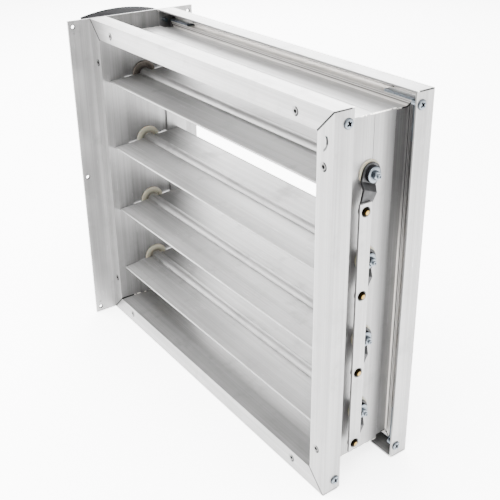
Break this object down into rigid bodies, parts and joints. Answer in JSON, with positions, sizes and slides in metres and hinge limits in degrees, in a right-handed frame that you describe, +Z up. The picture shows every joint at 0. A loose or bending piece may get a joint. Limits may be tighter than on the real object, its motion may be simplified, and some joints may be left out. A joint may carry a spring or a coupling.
{
  "type": "zone damper",
  "caption": "Rectangular zone damper: mitred channel frame, parallel turning blades, crank and bar linkage, side plate and motor actuator.",
  "frame": {"origin": "under the middle of the whole object, on the plane of its base", "axes": "+X along the blade shafts from the actuator to the linkage, +Y with the air from the front face, +Z up"},
  "size_m": [0.4412, 0.1524, 0.3556],
  "materials": {
    "mill_aluminium": "mill finish",
    "zinc_plate": "zinc plated",
    "black_washer": "black oxide",
    "dark_steel": "plain steel",
    "motor_steel": "plated",
    "bronze": "sintered, oiled",
    "yellow_plate": "yellow plated",
    "nylon": "moulded",
    "cover_plastic": "moulded"
  },
  "bodies": {
    "frame": {"head": "mill_aluminium", "sill": "mill_aluminium", "left_jamb": "mill_aluminium", "right_jamb": "mill_aluminium", "front_corner_keys": "zinc_plate", "rear_corner_keys": "zinc_plate", "side_plate": "mill_aluminium", "lip_screws": "zinc_plate", "plate_screws": "zinc_plate", "bearing_left_1": "bronze", "bearing_left_2": "nylon", "bearing_left_3": "nylon", "bearing_left_4": "nylon", "bearing_right_1": "nylon", "bearing_right_2": "nylon", "bearing_right_3": "nylon", "bearing_right_4": "nylon", "actuator_base": "cover_plastic", "actuator_cover": "cover_plastic", "motor": "motor_steel", "motor_screws": "zinc_plate", "cover_screws": "zinc_plate", "base_screws": "zinc_plate"},
    "top_blade": {"blade_1": "mill_aluminium", "blade_shaft_1": "dark_steel", "crank_1": "dark_steel", "crank_washer_1": "black_washer", "crank_bolt_1": "zinc_plate", "drive_hub": "dark_steel", "drive_gear": "nylon", "hub_screw": "zinc_plate"},
    "upper_blade": {"blade_2": "mill_aluminium", "blade_shaft_2": "dark_steel", "crank_2": "dark_steel", "crank_washer_2": "black_washer", "crank_bolt_2": "zinc_plate"},
    "lower_blade": {"blade_3": "mill_aluminium", "blade_shaft_3": "dark_steel", "crank_3": "dark_steel", "crank_washer_3": "black_washer", "crank_bolt_3": "zinc_plate"},
    "bottom_blade": {"blade_4": "mill_aluminium", "blade_shaft_4": "dark_steel", "crank_4": "dark_steel", "crank_washer_4": "black_washer", "crank_bolt_4": "zinc_plate"},
    "link": {"link_bar": "mill_aluminium", "link_pin_1": "yellow_plate", "link_pin_2": "yellow_plate", "link_pin_3": "yellow_plate", "link_pin_4": "yellow_plate"},
    "pinion": {"motor_pinion": "yellow_plate"}
  },
  "joints": [
    {"name": "top_blade_turn", "type": "hinge", "parent": "frame", "child": "top_blade", "pos_m": [0.01825, 0, 0.2921], "axis": [-1, 0, 0], "range_deg": [0, 90]},
    {"name": "upper_blade_turn", "type": "hinge", "parent": "frame", "child": "upper_blade", "pos_m": [0.01825, 0, 0.2159], "axis": [-1, 0, 0], "range_deg": [0, 90]},
    {"name": "lower_blade_turn", "type": "hinge", "parent": "frame", "child": "lower_blade", "pos_m": [0.01825, 0, 0.1397], "axis": [-1, 0, 0], "range_deg": [0, 90]},
    {"name": "bottom_blade_turn", "type": "hinge", "parent": "frame", "child": "bottom_blade", "pos_m": [0.01825, 0, 0.0635], "axis": [-1, 0, 0], "range_deg": [0, 90]},
    {"name": "link_swing", "type": "hinge", "parent": "top_blade", "child": "link", "pos_m": [0.21125, -0.01089, 0.26447], "axis": [-1, 0, 0], "range_deg": [-90, 0]},
    {"name": "pinion_turn", "type": "hinge", "parent": "frame", "child": "pinion", "pos_m": [-0.19175, 0, 0.2561], "axis": [-1, 0, 0], "range_deg": [-450, 0]}
  ],
  "couplings": [
    {"joint": "upper_blade_turn", "follows": "top_blade_turn", "ratio": 1},
    {"joint": "lower_blade_turn", "follows": "top_blade_turn", "ratio": 1},
    {"joint": "bottom_blade_turn", "follows": "top_blade_turn", "ratio": 1},
    {"joint": "link_swing", "follows": "top_blade_turn", "ratio": -1},
    {"joint": "pinion_turn", "follows": "top_blade_turn", "ratio": -5}
  ]
}
